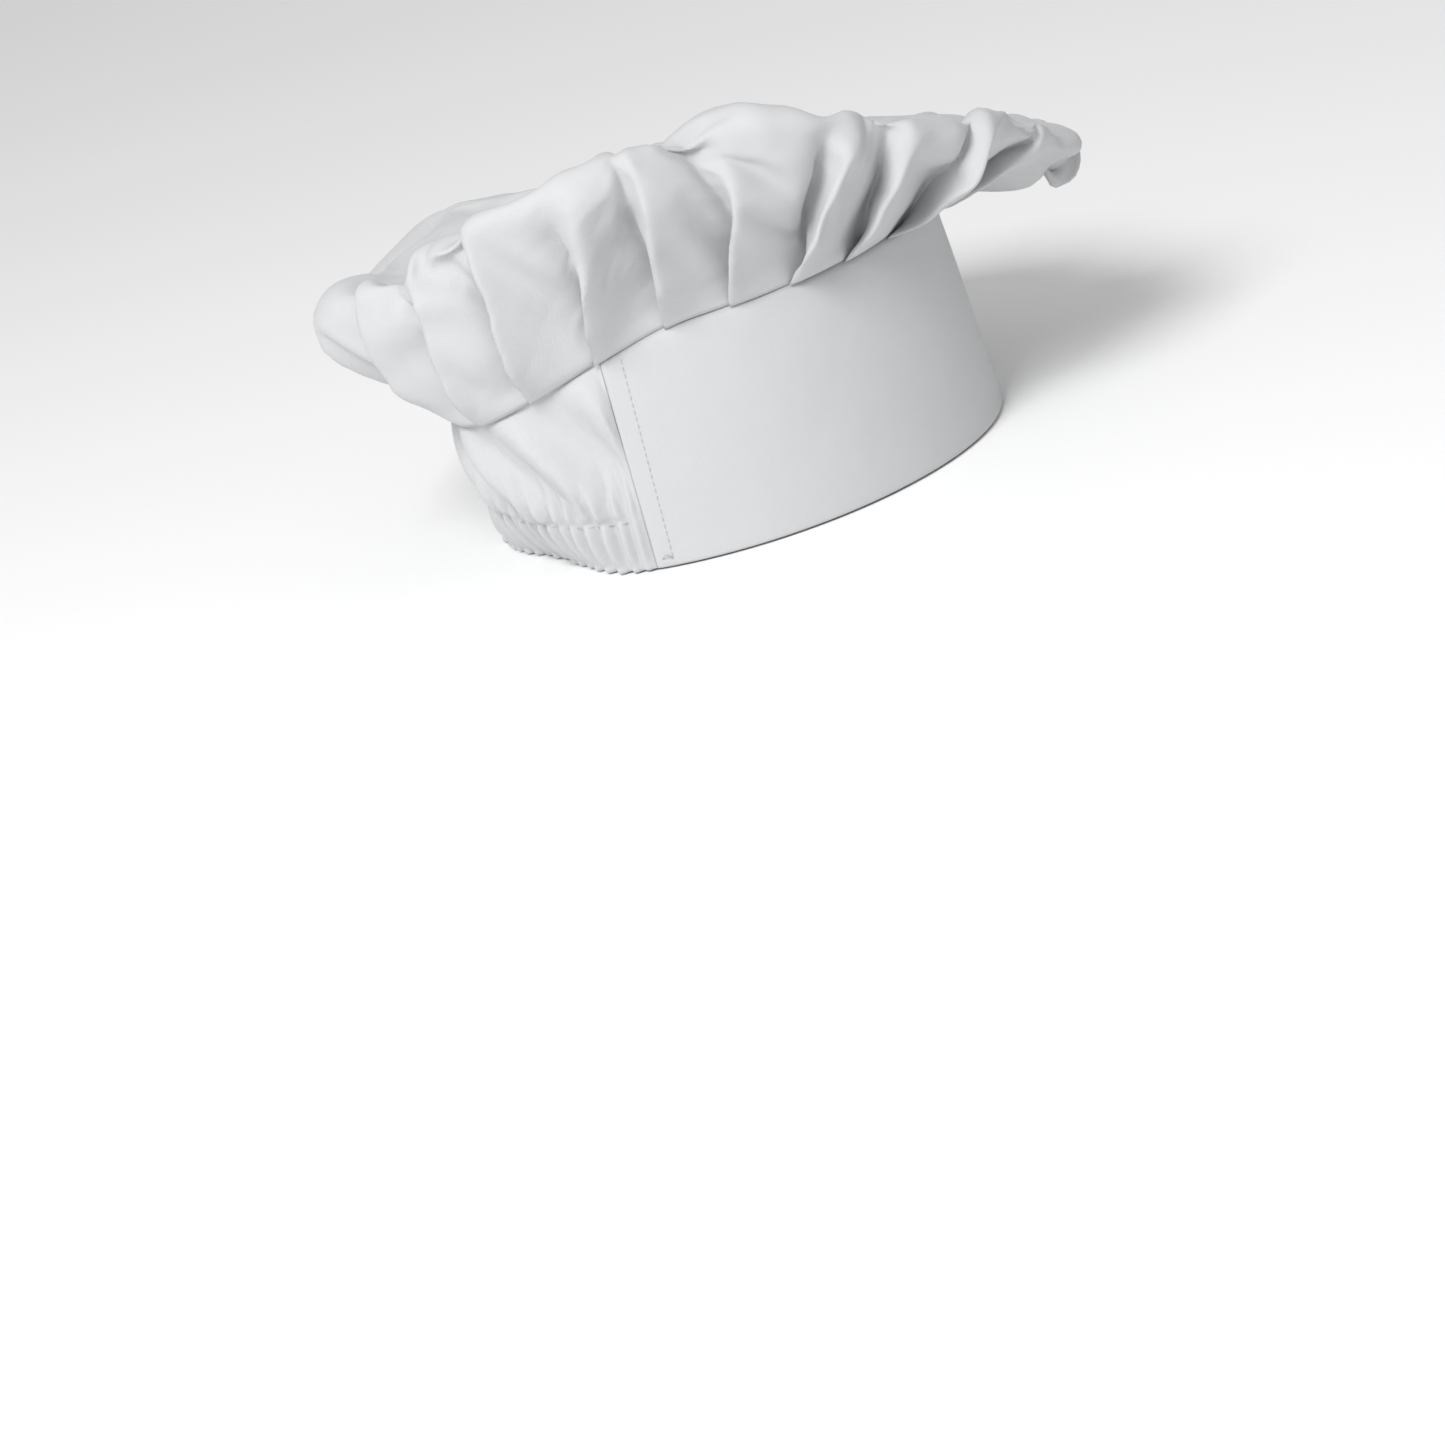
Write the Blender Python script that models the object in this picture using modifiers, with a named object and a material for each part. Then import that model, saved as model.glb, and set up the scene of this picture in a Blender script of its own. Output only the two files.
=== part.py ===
"""A chef's toque: a stiff folded band, a back gathered on elastic, and a pleated crown.

The hat stands on its rim in the XY plane. The wearer faces -Y, the wearer's right is -X,
and the origin is the centre of the head opening. Angles called "turn" start at the centre
back and grow towards the wearer's right.
"""
import math

import bmesh
import bpy
from mathutils import Vector
from mathutils.geometry import interpolate_bezier

# --- Driving dimensions, in metres and radians ---------------------------------------

RIM_HALF_WIDTH = 0.082        # outside of the band at its bottom edge, across the head
RIM_HALF_LENGTH = 0.100       # the same, front to back
SIDE_LEAN = 0.004             # how far the band leans in to its top edge, at the sides
END_LEAN = 0.009              # and at the front and back
BAND_HEIGHT = 0.085
BAND_END = math.radians(38)   # turn of the band's two ends

REAR_DRAW_IN = 0.012          # how far the elastic draws in the centre back of the rim
REAR_FLARE = 0.021            # how far the crown seam stands back there
REAR_SEAM_DROP = 0.024        # and how far it lies below the band's top
SEAM_SLOPE_TURN = math.radians(60)  # from here to the centre back the crown seam runs down
PANEL_BULGE = 0.004           # how far the gathered panel puffs out between its edges

CROWN_SIDE_OVERHANG = 0.046   # widest ring of the crown, beyond the band's top edge
CROWN_END_OVERHANG = 0.054    # the same at the front and the back
CROWN_RISE = 0.033            # middle of the crown, above the band's top edge
CROWN_EDGE_DROP = 0.005       # depth of the widest ring below the band's top edge
CROWN_TILT = 0.058            # how much higher the ring stands where the crown is worn up
TILT_TURN = math.radians(62)  # middle of that stretch, on the wearer's right
TILT_REACH = math.radians(105)  # and how far it reaches each way
TILT_DRAW_IN = 0.22           # share of its reach that the ring loses as it stands up
CROWN_UNDER_FULLNESS = 0.018  # how round the edge is below and above its widest ring
CROWN_OVER_FULLNESS = 0.014
TILTED_FULLNESS = 0.004       # how far these change where the ring stands up

CLOTH = 0.0006                # one pressed layer of poplin
INTERFACING = 0.0008
ELASTIC = 0.0010
ELASTIC_WIDTH = 0.015
CASING_HEIGHT = 0.020         # hem that the elastic runs in
THREAD_RADIUS = 0.00025
GAP = 0.0003                  # air between pieces that touch
SEAM_GAP = 0.0008             # the crown's lower edge above the band's top edge

JOIN_INSET = 0.006            # side stitching, forward of the band's ends
THREAD_EDGE_GAP = 0.003       # side stitching stops this far from the band's edges
CASING_STITCH_DROP = 0.0015   # casing stitching, below the hem's raw edge
SEAM_STITCH_DROP = 0.002      # crown stitching, below the band's top edge

PIVOT_INSET = 0.004           # axis that the back swings about: ahead of the rim's centre back
PIVOT_DROP = 0.013            # and below the band's top

# Fineness of the faceted solids.
BAND_STEPS = 56
PANEL_STEPS = 26
CROWN_STEPS = 64
CROWN_UNDER_RINGS = 5
CROWN_OVER_RINGS = 7
FOLD_STEPS = 4

# Sizes that follow from those above.
TOP_HALF_WIDTH = RIM_HALF_WIDTH - SIDE_LEAN
TOP_HALF_LENGTH = RIM_HALF_LENGTH - END_LEAN
CROWN_HALF_WIDTH = TOP_HALF_WIDTH + CROWN_SIDE_OVERHANG
CROWN_HALF_LENGTH = TOP_HALF_LENGTH + CROWN_END_OVERHANG
CROWN_TOP = BAND_HEIGHT + CROWN_RISE
CROWN_EDGE_HEIGHT = BAND_HEIGHT - CROWN_EDGE_DROP
BACK_PIVOT = Vector((0, RIM_HALF_LENGTH - REAR_DRAW_IN - PIVOT_INSET, BAND_HEIGHT - PIVOT_DROP))
CROWN_PRESS = Vector((0, 0, CROWN_TOP))  # the crown is pressed down along Z here

# Layers, as distances inward from the wall's outer surface to each layer's middle.
OUTER_LAYER = CLOTH / 2
BAND_FILLING = CLOTH + GAP + INTERFACING / 2
BAND_LINING = CLOTH + 2 * GAP + INTERFACING + CLOTH / 2
BAND_THICKNESS = BAND_LINING + CLOTH / 2
CASING_ELASTIC = CLOTH + GAP + ELASTIC / 2
CASING_LINING = CLOTH + 2 * GAP + ELASTIC + CLOTH / 2

PALE_COTTON = (0.84, 0.85, 0.87, 1.0)
COTTON_THREAD = (0.80, 0.81, 0.83, 1.0)
INTERFACING_WHITE = (0.78, 0.78, 0.76, 1.0)
ELASTIC_WHITE = (0.74, 0.74, 0.73, 1.0)


# --- The wall that the band and the back panel share ----------------------------------

def ease(share):
    """Rise smoothly from 0 to 1 as share does."""
    share = min(max(share, 0.0), 1.0)
    return share * share * (3 - 2 * share)


def rear_share(turn, limit):
    """1 at the centre back, falling to 0 at the turn called limit."""
    return 1 - ease(abs(turn) / limit)


def rim_point(turn):
    """Outline of the bottom edge: an ellipse, drawn in at the back."""
    reach = RIM_HALF_LENGTH * math.cos(turn) - REAR_DRAW_IN * rear_share(turn, BAND_END)
    return Vector((-RIM_HALF_WIDTH * math.sin(turn), reach, 0))


def seam_point(turn):
    """Line that the crown is sewn to: level round the band, back and down at the rear."""
    rear = rear_share(turn, SEAM_SLOPE_TURN)
    reach = TOP_HALF_LENGTH * math.cos(turn) + REAR_FLARE * rear
    height = BAND_HEIGHT - REAR_SEAM_DROP * rear
    return Vector((-TOP_HALF_WIDTH * math.sin(turn), reach, height))


def outer_point(turn, height):
    """Point on the outside of the wall, at a height above the rim."""
    seam = seam_point(turn)
    share = height / seam.z
    return rim_point(turn).lerp(seam, share)


def outward(turn, height):
    """Level direction out of the wall."""
    step = 0.001
    along = outer_point(turn + step, height) - outer_point(turn - step, height)
    out = Vector((-along.y, along.x, 0)).normalized()
    return out if out.dot(outer_point(turn, height)) > 0 else -out


def puff(turn, height):
    """How far the gathered panel stands out of the ruled wall."""
    share = min(max(height / seam_point(turn).z, 0.0), 1.0)
    return PANEL_BULGE * math.sin(math.pi * share) * rear_share(turn, BAND_END)


def wall_point(turn, height, inward):
    """Point inside the wall, a distance inward from its outer surface, square to it."""
    step = 0.001
    out = outward(turn, height)
    rise = outer_point(turn, height + step) - outer_point(turn, height)
    lean = (rise.dot(out) + puff(turn, height + step) - puff(turn, height)) / step
    level_distance = puff(turn, height) - inward * math.hypot(1, lean)
    return outer_point(turn, height) + out * level_distance


def folded_section(turn, outer, lining, levels, lining_height):
    """One upright section of a strip folded at the rim, from its outer top to its inner top."""
    radius = (lining - outer) / 2
    middle = outer + radius
    fold_height = CLOTH / 2 + radius
    points = [wall_point(turn, level, outer) for level in levels]
    for step in range(FOLD_STEPS + 1):
        angle = math.pi * step / FOLD_STEPS
        # The fold is pressed level between its lowest corners, so the hat stands on a flat.
        dip = min(1.0, math.sin(angle) / math.sin(math.pi / FOLD_STEPS))
        spot = wall_point(turn, fold_height - radius * dip, middle - radius * math.cos(angle))
        points.append(spot)
    rising = [level for level in reversed(levels) if level <= lining_height + GAP * GAP]
    points += [wall_point(turn, level, lining) for level in rising]
    return points


# --- Making objects -------------------------------------------------------------------

def cloth_material(name, colour, roughness):
    material = bpy.data.materials.new(name)
    material.use_nodes = True
    shader = material.node_tree.nodes["Principled BSDF"]
    shader.inputs["Base Color"].default_value = colour
    shader.inputs["Roughness"].default_value = roughness
    shader.inputs["Metallic"].default_value = 0.0
    return material


def place(name, data, material, parent):
    """Add a named object whose data is already relative to its parent."""
    piece = bpy.data.objects.new(name, data)
    data.materials.append(material)
    bpy.data.collections["chef_toque"].objects.link(piece)
    piece.parent = parent
    return piece


def loft_sheet(name, sections, ring, thickness, material, parent):
    """Skin neighbouring sections with a sheet, then give it its thickness.

    Each section is a list of points. With ring set, the last section joins the first.
    """
    sheet = bmesh.new()
    rows = [[sheet.verts.new(point - parent.location) for point in row] for row in sections]
    pairs = list(zip(rows, rows[1:]))
    if ring:
        pairs.append((rows[-1], rows[0]))
    for left, right in pairs:
        for below in range(len(left) - 1):
            sheet.faces.new((left[below], right[below], right[below + 1], left[below + 1]))
    tips = [row[-1] for row in rows]
    if (tips[0].co - tips[-1].co).length < GAP * GAP:
        bmesh.ops.pointmerge(sheet, verts=tips, merge_co=tips[0].co)
    bmesh.ops.recalc_face_normals(sheet, faces=sheet.faces)
    mesh = bpy.data.meshes.new(name)
    sheet.to_mesh(mesh)
    sheet.free()
    piece = place(name, mesh, material, parent)
    wall = piece.modifiers.new("thickness", "SOLIDIFY")
    wall.thickness = thickness
    wall.offset = 0
    wall.use_even_offset = True
    mesh.shade_smooth()
    return piece


def thread(name, points, material, parent):
    """A run of sewing thread along the given points."""
    path = bpy.data.curves.new(name, "CURVE")
    path.dimensions = "3D"
    path.bevel_depth = THREAD_RADIUS
    path.bevel_resolution = 1
    path.use_fill_caps = True
    line = path.splines.new("POLY")
    line.points.add(len(points) - 1)
    for knot, point in zip(line.points, points):
        knot.co = (*(point - parent.location), 1)
    return place(name, path, material, parent)


def pivot(name, position):
    """An empty that carries the pieces of one moving body."""
    empty = bpy.data.objects.new(name, None)
    empty.location = position
    bpy.data.collections["chef_toque"].objects.link(empty)
    return empty


def spread(start, end, steps):
    """Evenly spaced values from start to end."""
    return [start + (end - start) * step / steps for step in range(steps + 1)]


def turn_for(length):
    """Turn that a length measures along the rim near the band's ends."""
    return length / (rim_point(BAND_END + 0.5) - rim_point(BAND_END - 0.5)).length


# --- The pieces -----------------------------------------------------------------------

def head_band(cotton, parent):
    turns = spread(BAND_END, 2 * math.pi - BAND_END, BAND_STEPS)
    turns = [turn if turn <= math.pi else turn - 2 * math.pi for turn in turns]
    shares = (1, 0.5, 0.05)
    sections = []
    filling = []
    for turn in turns:
        levels = [seam_point(turn).z * share for share in shares]
        sections.append(folded_section(turn, OUTER_LAYER, BAND_LINING, levels, levels[0]))
        filling.append([wall_point(turn, level, BAND_FILLING) for level in levels])
    loft_sheet("head_band", sections, False, CLOTH, cotton, parent)
    stiff = cloth_material("interfacing", INTERFACING_WHITE, 0.9)
    loft_sheet("band_interfacing", filling, False, INTERFACING, stiff, parent)
    return turns


def back_panel(cotton, parent):
    edge = BAND_END - turn_for(2 * GAP)
    turns = spread(-edge, edge, PANEL_STEPS)
    middle = CASING_HEIGHT / 2
    tape_levels = [middle + ELASTIC_WIDTH / 2, middle, middle - ELASTIC_WIDTH / 2]
    sections = []
    for turn in turns:
        rise = seam_point(turn).z - CASING_HEIGHT
        levels = [CASING_HEIGHT + rise * share for share in (1, 0.66, 0.33, 0)]
        sections.append(folded_section(turn, OUTER_LAYER, CASING_LINING,
                                       levels + tape_levels, CASING_HEIGHT))
    loft_sheet("back_panel", sections, False, CLOTH, cotton, parent)
    rubber = cloth_material("elastic", ELASTIC_WHITE, 0.8)
    tape = [[wall_point(turn, level, CASING_ELASTIC) for level in tape_levels]
            for turn in turns]
    loft_sheet("elastic_tape", tape, False, ELASTIC, rubber, parent)
    return turns


def crown_meridian(turn):
    """From the seam out to the widest ring, and over the top to the middle."""
    seam = wall_point(turn, seam_point(turn).z, BAND_THICKNESS / 2) + Vector((0, 0, SEAM_GAP))
    tilted = 1 - ease(abs(math.remainder(turn - TILT_TURN, 2 * math.pi)) / TILT_REACH)
    reach = 1 - TILT_DRAW_IN * tilted
    edge = Vector((-CROWN_HALF_WIDTH * reach * math.sin(turn),
                   CROWN_HALF_LENGTH * reach * math.cos(turn),
                   CROWN_EDGE_HEIGHT + CROWN_TILT * tilted))
    top = Vector((0, 0, CROWN_TOP))
    leave = seam.lerp(edge, 0.45)
    leave.z = seam.z + (leave.z - seam.z) * tilted
    arrive = edge - Vector((0, 0, CROWN_UNDER_FULLNESS + TILTED_FULLNESS * tilted))
    under = interpolate_bezier(seam, leave, arrive, edge, CROWN_UNDER_RINGS + 1)
    depart = edge + Vector((0, 0, CROWN_OVER_FULLNESS - TILTED_FULLNESS * tilted))
    shoulder = edge.lerp(top, 0.4)
    shoulder.z = top.z + (edge.z + TILTED_FULLNESS - top.z) * tilted
    over = interpolate_bezier(edge, depart, shoulder, top, CROWN_OVER_RINGS + 1)
    return under + over[1:]


def crown(cotton, parent):
    turns = spread(-math.pi, math.pi, CROWN_STEPS)[:-1]
    sections = [crown_meridian(turn) for turn in turns]
    loft_sheet("crown", sections, True, CLOTH, cotton, parent)


def stitching(band_turns, panel_turns, cotton_thread, root, back):
    """The threads: the crown seam on the inside, the band's two ends, and the casing."""
    outside = -GAP - THREAD_RADIUS
    inside_band = BAND_THICKNESS + GAP + THREAD_RADIUS
    points = [wall_point(turn, seam_point(turn).z - SEAM_STITCH_DROP, inside_band)
              for turn in band_turns]
    thread("band_seam_thread", points, cotton_thread, root)
    inside_panel = CLOTH + GAP + THREAD_RADIUS
    points = [wall_point(turn, seam_point(turn).z - SEAM_STITCH_DROP, inside_panel)
              for turn in panel_turns]
    thread("panel_seam_thread", points, cotton_thread, back)
    points = [wall_point(turn, CASING_HEIGHT - CASING_STITCH_DROP, outside)
              for turn in panel_turns]
    thread("casing_thread", points, cotton_thread, back)
    line = BAND_END + turn_for(JOIN_INSET)
    for name, turn in (("right_join_thread", line), ("left_join_thread", -line)):
        heights = spread(THREAD_EDGE_GAP, seam_point(turn).z - THREAD_EDGE_GAP, 8)
        thread(name, [wall_point(turn, height, outside) for height in heights],
               cotton_thread, root)


def build():
    for old in list(bpy.data.objects):
        bpy.data.objects.remove(old)
    collection = bpy.data.collections.new("chef_toque")
    bpy.context.scene.collection.children.link(collection)
    cotton = cloth_material("cotton_poplin", PALE_COTTON, 0.85)
    cotton_thread = cloth_material("cotton_thread", COTTON_THREAD, 0.7)
    root = pivot("hat_frame", Vector((0, 0, 0)))
    back = pivot("back_pivot", BACK_PIVOT)
    top = pivot("crown_slide", CROWN_PRESS)
    band_turns = head_band(cotton, root)
    panel_turns = back_panel(cotton, back)
    crown(cotton, top)
    stitching(band_turns, panel_turns, cotton_thread, root, back)


build()
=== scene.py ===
"""Looks of a low, floppy chef's hat in white cotton poplin.

The hat stands on its rim in the XY plane. The wearer faces -Y and the wearer's right is -X.
A turn is an angle round the hat. It is 0 at the centre back and grows towards the wearer's
right. Each piece of cloth is cut flat and laid along its seams; the crown and the back panel are then
left to settle.
"""
import math

import bmesh
import bpy
from mathutils import Matrix, Vector, noise
from mathutils.bvhtree import BVHTree
from mathutils.geometry import interpolate_bezier


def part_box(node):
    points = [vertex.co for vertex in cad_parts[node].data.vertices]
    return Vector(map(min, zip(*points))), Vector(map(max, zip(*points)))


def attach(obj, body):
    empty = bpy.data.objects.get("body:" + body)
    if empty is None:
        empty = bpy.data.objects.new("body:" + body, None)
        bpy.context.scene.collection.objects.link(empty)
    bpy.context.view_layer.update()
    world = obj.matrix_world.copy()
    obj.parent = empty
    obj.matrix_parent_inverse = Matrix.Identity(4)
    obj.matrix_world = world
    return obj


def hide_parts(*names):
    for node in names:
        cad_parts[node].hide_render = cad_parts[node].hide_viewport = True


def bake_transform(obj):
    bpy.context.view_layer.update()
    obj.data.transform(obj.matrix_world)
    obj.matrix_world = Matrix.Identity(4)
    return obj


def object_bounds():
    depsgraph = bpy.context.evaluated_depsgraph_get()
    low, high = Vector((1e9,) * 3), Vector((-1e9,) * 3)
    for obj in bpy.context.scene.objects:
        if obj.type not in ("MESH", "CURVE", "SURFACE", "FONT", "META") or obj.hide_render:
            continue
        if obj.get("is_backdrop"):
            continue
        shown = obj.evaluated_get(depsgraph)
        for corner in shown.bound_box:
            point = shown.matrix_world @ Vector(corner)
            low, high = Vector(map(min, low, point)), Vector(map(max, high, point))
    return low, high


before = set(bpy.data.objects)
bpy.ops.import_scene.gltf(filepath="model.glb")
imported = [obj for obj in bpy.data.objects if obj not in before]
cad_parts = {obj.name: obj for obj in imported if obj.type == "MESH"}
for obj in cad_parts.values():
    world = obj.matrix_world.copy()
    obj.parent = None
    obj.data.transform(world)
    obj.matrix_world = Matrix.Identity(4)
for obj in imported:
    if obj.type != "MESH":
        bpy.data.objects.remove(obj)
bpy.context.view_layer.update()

bl_info = {
    "name": "Chef's toque",
    "version": (1, 0, 0),
    "blender": (4, 5, 0),
    "location": "3D View > Sidebar > Toque",
    "description": "Sews a low chef's hat from flat cloth and sets it in a plain studio",
    "category": "Add Mesh",
}

FLAT_MAP = "flat"          # UV map: where each point lay on the cutting table, in metres
SETTLING_SCALE = 10.0      # cloth is settled this many times larger, where the solver is steady
HEAD_LEANS_BACK = Vector((-0.04, 0.32, -0.945)) * 9.81    # gravity, seen from the worn hat
POPLIN_TENSION = 60.0      # how hard poplin resists stretching while it settles
POPLIN_MASS = 0.05
DOWN = Vector((0, 0, -1))
UP = Vector((0, 0, 1))
FULL_TURN = 2 * math.pi


# --- Small sums -----------------------------------------------------------------------

def ease(share):
    """Rise smoothly from 0 to 1 as share does."""
    share = min(max(share, 0.0), 1.0)
    return share * share * (3 - 2 * share)


def mix(start, end, share):
    return start + (end - start) * share


def nearest_turn(turn):
    """The same turn, from minus half a circle to half a circle."""
    return math.remainder(turn, FULL_TURN)


def hump(distance, reach):
    """1 at no distance, falling smoothly to 0 at reach."""
    return 1 - ease(abs(distance) / reach)


def packed(share, evenness):
    """Shares of a row, drawn together towards both of its ends."""
    return mix((1 - math.cos(math.pi * share)) / 2, share, evenness)


# --- The wall, measured on the frame ----------------------------------------------------

def reach(node, direction, low=-1.0, high=1.0):
    """How far a CAD node's points between two heights reach in a direction."""
    spots = (vertex.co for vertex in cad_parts[node].data.vertices)
    return max(spot.dot(direction) for spot in spots if low <= spot.z <= high)


class Wall:
    """The surface that the band and the back panel share."""

    SLOPE_TURN = math.radians(60)   # from here to the centre back the crown seam runs down
    EDGE = 0.006                    # height of the slices that are measured
    RELAXED = 0.004                 # how much further the elastic draws in its middle
    BULGE = 0.004                   # how far the panel stands out halfway up

    def __init__(self):
        low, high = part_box("head_band")
        self.height = high.z
        self.rim_width = high.x
        self.rim_length = -low.y
        top = high.z - self.EDGE
        self.top_width = reach("head_band", Vector((1, 0, 0)), low=top)
        self.top_length = reach("head_band", Vector((0, -1, 0)), low=top)
        back = Vector((0, 1, 0))
        rim_back = reach("back_panel", back, high=self.EDGE)
        self.draw_in = self.rim_length - rim_back + self.RELAXED
        self.end = math.acos(reach("head_band", back, high=self.EDGE) / self.rim_length)
        panel_rise = [vertex.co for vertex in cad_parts["back_panel"].data.vertices
                      if abs(vertex.co.x) < self.EDGE]
        crest = max(panel_rise, key=lambda spot: spot.z)
        self.drop = self.height - crest.z
        self.flare = crest.y - self.top_length

    def rear(self, turn, limit):
        """1 at the centre back, falling to 0 at the turn called limit."""
        return hump(nearest_turn(turn), limit)

    def rim(self, turn):
        back = self.rim_length * math.cos(turn) - self.draw_in * self.rear(turn, self.end)
        return Vector((-self.rim_width * math.sin(turn), back, 0))

    def seam(self, turn):
        """Line that the crown is sewn to: level round the band, back and down at the rear."""
        rear = self.rear(turn, self.SLOPE_TURN)
        back = self.top_length * math.cos(turn) + self.flare * rear
        return Vector((-self.top_width * math.sin(turn), back, self.height - self.drop * rear))

    def outward(self, turn, height):
        step = 0.001
        along = self.ruled(turn + step, height) - self.ruled(turn - step, height)
        out = Vector((-along.y, along.x, 0)).normalized()
        return out if out.dot(self.ruled(turn, height)) > 0 else -out

    def ruled(self, turn, height):
        seam = self.seam(turn)
        return self.rim(turn).lerp(seam, height / seam.z)

    def point(self, turn, height, inward=0.0):
        """Point a level distance inward from the wall's outside, at a height."""
        share = min(max(height / self.seam(turn).z, 0.0), 1.0)
        puff = self.BULGE * math.sin(math.pi * share) * self.rear(turn, self.end)
        return self.ruled(turn, height) + self.outward(turn, height) * (puff - inward)

    def turns_by_length(self, start, end, height, steps=720):
        """A function from a share of the way round, by length, to a turn."""
        turns = [mix(start, end, step / steps) for step in range(steps + 1)]
        spots = [self.ruled(turn, height) for turn in turns]
        lengths = [0.0]
        for before, after in zip(spots, spots[1:]):
            lengths.append(lengths[-1] + (after - before).length)
        whole = lengths[-1]

        def turn_at(share):
            wanted = min(max(share, 0.0), 1.0) * whole
            low, high = 0, steps
            while high - low > 1:
                middle = (low + high) // 2
                if lengths[middle] <= wanted:
                    low = middle
                else:
                    high = middle
            part = (wanted - lengths[low]) / max(lengths[high] - lengths[low], 1e-9)
            return mix(turns[low], turns[high], part)

        return turn_at, whole


WALL = Wall()


# --- Settings -------------------------------------------------------------------------

def size(name, description, default, **limits):
    """A length that a user can change."""
    return bpy.props.FloatProperty(name=name, description=description, default=default,
                                   unit="LENGTH", precision=4, **limits)


def turn_setting(name, description, degrees):
    return bpy.props.FloatProperty(name=name, description=description,
                                   default=math.radians(degrees), subtype="ANGLE")


def share_setting(name, description, default):
    return bpy.props.FloatProperty(name=name, description=description, default=default,
                                   min=0.0, max=1.0, subtype="FACTOR")


def count(name, description, default):
    return bpy.props.IntProperty(name=name, description=description, default=default, min=1)


def colour(name, description, default):
    return bpy.props.FloatVectorProperty(name=name, description=description, size=3,
                                         default=default, min=0.0, max=1.0, subtype="COLOR")


class ToqueCrown(bpy.types.PropertyGroup):
    """The circle of cloth that is pleated to the seam."""

    radius: size("Cloth radius", "Radius of the circle that the crown is cut from", 0.197)
    cloth: size("Cloth thickness", "Thickness of one layer of poplin", 0.0005)
    weave_steps: count("Cloth steps", "Squares across the circle of cloth", 110)
    pleats: count("Pleats", "Knife pleats round the seam", 24)
    first_pleat: turn_setting("First pleat", "Turn at which the pleats begin", 6)
    pleat_depth: size("Pleat depth", "How far a pleat's fold stands out above the seam", 0.0085)
    pleat_length: size("Pleat length", "Distance from the seam at which pleats lie open", 0.080)
    unevenness: share_setting("Unevenness", "How much the pleats differ from each other", 0.6)
    starch: share_setting("Starch", "How firmly the pleats' folds keep their shape", 0.75)
    crease_depth: size("Crease depth", "How far the cloth is crumpled between its folds", 0.0065)
    half_width: size("Half width", "Widest ring from the middle, to the side",
                     max(-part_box("crown")[0].x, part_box("crown")[1].x))
    half_length: size("Half length", "Widest ring from the middle, to the front",
                      -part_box("crown")[0].y)
    edge_height: size("Edge height", "Height of the widest ring where the crown hangs", 0.080)
    tilt: size("Tilt", "How much higher the ring stands where the crown is worn up", 0.072)
    tilt_turn: turn_setting("Tilt turn", "Middle of the stretch that stands up", 70)
    front_reach: turn_setting("Front reach", "How far that stretch goes to the front", 92)
    rear_reach: turn_setting("Rear reach", "How far it goes to the back", 158)
    draw_in: share_setting("Draw in", "Share of its reach that the ring loses there", 0.20)
    top: size("Top", "Height of the middle of the crown", 0.118)
    settle_steps: count("Settling steps", "Frames for which the cloth falls", 20)


class ToqueBand(bpy.types.PropertyGroup):
    """The stiff folded band and what is inside it."""

    cloth: size("Cloth thickness", "Thickness of one layer of poplin", 0.0004)
    thickness: size("Band thickness", "Outside of the band to the inside of its lining", 0.0026)
    interfacing: size("Interfacing", "Thickness of the stiff filling", 0.0008)
    unevenness: size("Unevenness", "How far the band strays from a smooth oval", 0.0004)
    columns: count("Columns", "Steps along the band", 300)
    rows: count("Rows", "Steps up one side of the band", 24)


class ToqueBack(bpy.types.PropertyGroup):
    """The gathered panel at the back, its casing and its elastic."""

    cloth: size("Cloth thickness", "Thickness of one layer of poplin", 0.0004)
    flat_width: size("Flat width", "Width that the panel is cut to", 0.190)
    casing: size("Casing", "Height of the hem that the elastic runs in", 0.020)
    slack: share_setting("Slack", "Extra height of the panel, as a share", 0.05)
    ruffles: count("Ruffles", "Gathers along the elastic", 19)
    ruffle_depth: size("Ruffle depth", "How far the ruffles stand out", 0.0042)
    top_folds: count("Top folds", "Gathers along the crown seam", 4)
    elastic: size("Elastic", "Thickness of the elastic tape", 0.0010)
    elastic_width: size("Elastic width", "Width of the elastic tape", 0.015)
    columns: count("Columns", "Steps across the panel", 170)
    settle_steps: count("Settling steps", "Frames for which the cloth falls", 4)


class ToqueStitches(bpy.types.PropertyGroup):
    """Sewing threads."""

    length: size("Stitch length", "From one needle hole to the next", 0.0026)
    radius: size("Thread radius", "Half the thickness of the thread", 0.00022)
    gap_share: share_setting("Gap", "Share of each stitch that is inside the cloth", 0.22)
    wander: size("Wander", "How far a row strays from its line", 0.00025)
    tail: size("Loose end", "Length of the loose thread at the bottom of a row", 0.008)


class ToqueFinish(bpy.types.PropertyGroup):
    """Colours."""

    cotton: colour("Cotton", "Colour of the poplin", (0.57, 0.58, 0.59))
    thread: colour("Thread", "Colour of the sewing thread", (0.48, 0.49, 0.52))
    elastic: colour("Elastic", "Colour of the elastic tape", (0.72, 0.72, 0.71))
    interfacing: colour("Interfacing", "Colour of the stiff filling", (0.76, 0.76, 0.74))
    floor: colour("Floor", "Colour of the studio floor", (0.95, 0.95, 0.95))


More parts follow.
